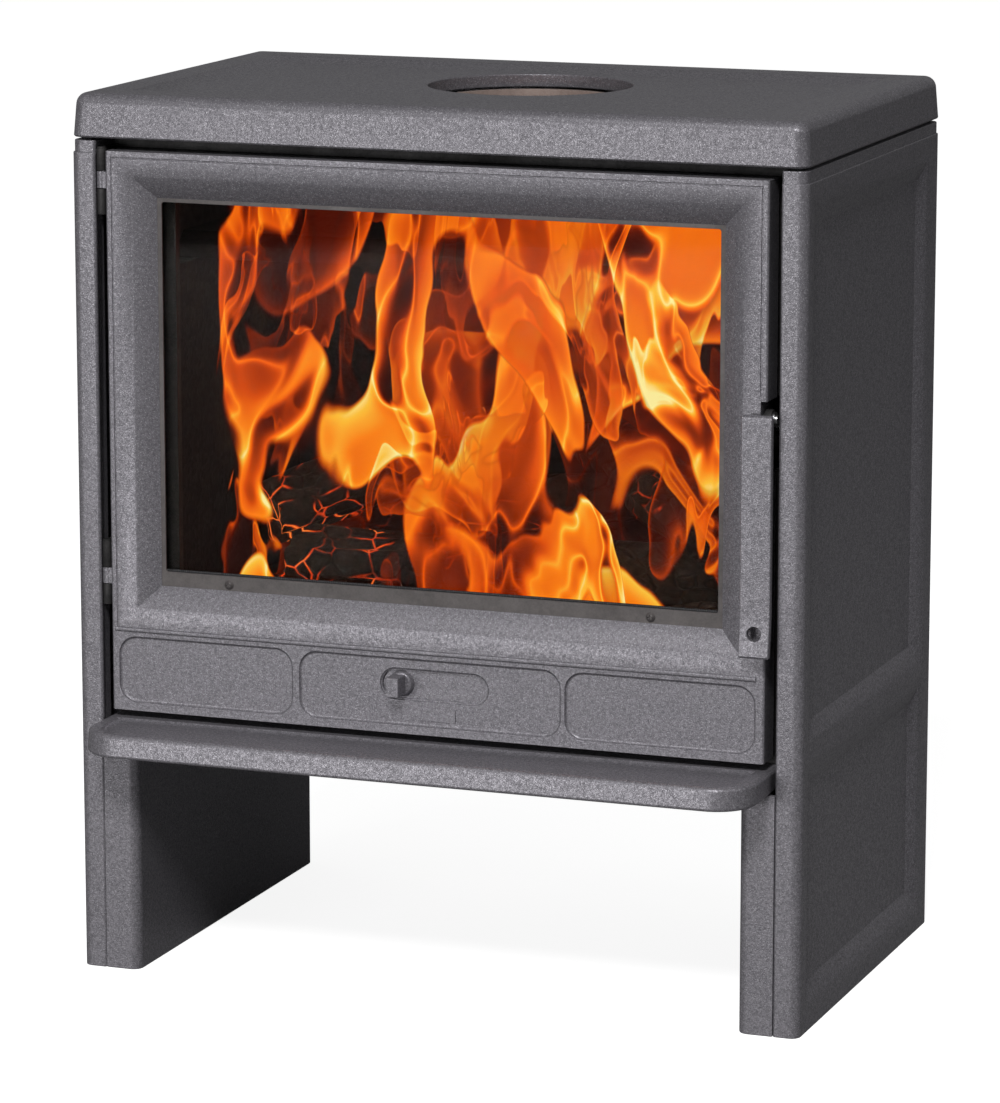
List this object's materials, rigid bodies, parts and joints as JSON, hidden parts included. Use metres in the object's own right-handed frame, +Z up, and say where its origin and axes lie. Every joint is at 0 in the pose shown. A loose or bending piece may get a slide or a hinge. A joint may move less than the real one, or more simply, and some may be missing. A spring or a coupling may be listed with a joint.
{
  "type": "wood burning stove",
  "caption": "Free-standing cast-iron wood burning stove with a side-hinged glass door, air slide, front shelf, top flue collar and open log store between its legs.",
  "frame": {"origin": "on the floor, under the middle of the whole outline", "axes": "+X to the stove's right as seen from the front, -Y out of the door, +Z up along the flue"},
  "size_m": [0.64, 0.459, 0.7495],
  "materials": {
    "grey_paint": "fine metallic heat-resistant paint over a sand-cast grain, satin",
    "bare_iron": "dark cast iron, matte",
    "sheet_steel": "galvanised sheet, satin",
    "bright_steel": "zinc plated, satin",
    "fire_brick": "vermiculite board, matte",
    "rope_seal": "woven glass-fibre rope, matte",
    "ceramic_glass": "clear ceramic glass, gloss",
    "dark_trim": "dark heat-resistant paint, satin"
  },
  "bodies": {
    "stove_body": {"top_plate": "grey_paint", "lid_pads": "rope_seal", "left_side_panel": "grey_paint", "right_side_panel": "grey_paint", "left_leg_liner": "grey_paint", "right_leg_liner": "grey_paint", "front_shelf": "grey_paint", "base_plate": "bare_iron", "bottom_heat_shield": "sheet_steel", "front_frame": "grey_paint", "firebox_left_wall": "bare_iron", "firebox_right_wall": "bare_iron", "firebox_back": "bare_iron", "firebox_roof": "bare_iron", "firebox_floor": "bare_iron", "flue_collar": "bare_iron", "flue_collar_bolts": "bright_steel", "left_fire_brick": "fire_brick", "right_fire_brick": "fire_brick", "back_fire_brick": "fire_brick", "baffle_plate": "fire_brick", "air_wash_duct": "bare_iron", "log_guard": "bare_iron", "grate": "bare_iron", "ash_pit": "bare_iron", "ash_pan": "sheet_steel", "panel_spacers": "bare_iron", "rear_tie_rods": "bright_steel", "rear_heat_shield": "sheet_steel", "rear_shield_spacers": "bright_steel", "rear_shield_screws": "bright_steel", "upper_hinge_bracket": "bare_iron", "lower_hinge_bracket": "bare_iron", "upper_hinge_pin": "bright_steel", "lower_hinge_pin": "bright_steel", "latch_catch": "bare_iron", "latch_roller": "bright_steel"},
    "door": {"door_frame": "grey_paint", "door_glass": "ceramic_glass", "glass_gasket": "rope_seal", "glass_retainer": "dark_trim", "glass_screws": "dark_trim", "glass_clips": "sheet_steel", "glass_clip_screws": "bright_steel", "door_gasket": "rope_seal", "air_slide_guides": "bare_iron", "air_chamber_cover": "bare_iron"},
    "air_control": {"air_slide": "grey_paint", "air_knob": "grey_paint"},
    "latch": {"door_handle": "grey_paint", "latch_hook": "bare_iron", "latch_pin": "bright_steel"}
  },
  "joints": [
    {"name": "door_hinge", "type": "hinge", "parent": "stove_body", "child": "door", "pos_m": [-0.2935, -0.1569, 0.5], "axis": [0, 0, -1], "range_deg": [0, 105]},
    {"name": "latch_lever", "type": "hinge", "parent": "door", "child": "latch", "pos_m": [0.2835, -0.1525, 0.51], "axis": [-1, 0, 0], "range_deg": [0, 35]},
    {"name": "air_slide_travel", "type": "slide", "parent": "door", "child": "air_control", "axis": [1, 0, 0], "range_m": [0, 0.06]}
  ]
}
